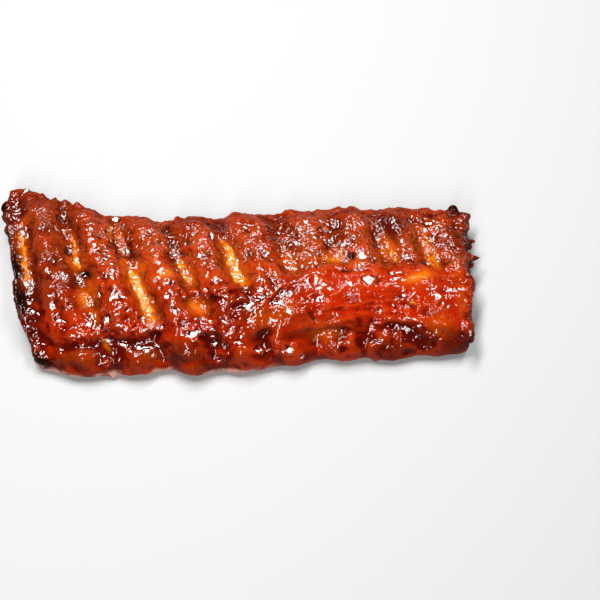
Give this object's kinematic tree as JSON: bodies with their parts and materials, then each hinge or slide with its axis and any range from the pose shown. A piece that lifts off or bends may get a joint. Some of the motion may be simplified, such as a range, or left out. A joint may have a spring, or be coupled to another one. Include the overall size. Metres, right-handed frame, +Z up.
{
  "type": "rack of ribs",
  "caption": "Glazed rack of pork back ribs lying flat, meaty side up: slanted rib bones show in valleys between rolls of meat, over a folded lower roll.",
  "frame": {"origin": "on the table under the middle of the rack's overall box", "axes": "+X along the rack from its wide end to its narrow end, +Y to the thin far edge where the bone ends show, +Z up through the meaty side"},
  "size_m": [0.2896, 0.1196, 0.0345],
  "materials": {
    "glazed_meat": "sticky gloss glaze over browned meat, darker in the valleys and charred at the ends",
    "bone": "amber bone under a thin wet glaze"
  },
  "bodies": {
    "root": {"meat": "glazed_meat", "rib_bone_1": "bone", "rib_bone_2": "bone", "rib_bone_3": "bone", "rib_bone_4": "bone", "rib_bone_5": "bone", "rib_bone_6": "bone", "rib_bone_7": "bone", "rib_bone_8": "bone", "rib_bone_9": "bone"}
  },
  "joints": []
}
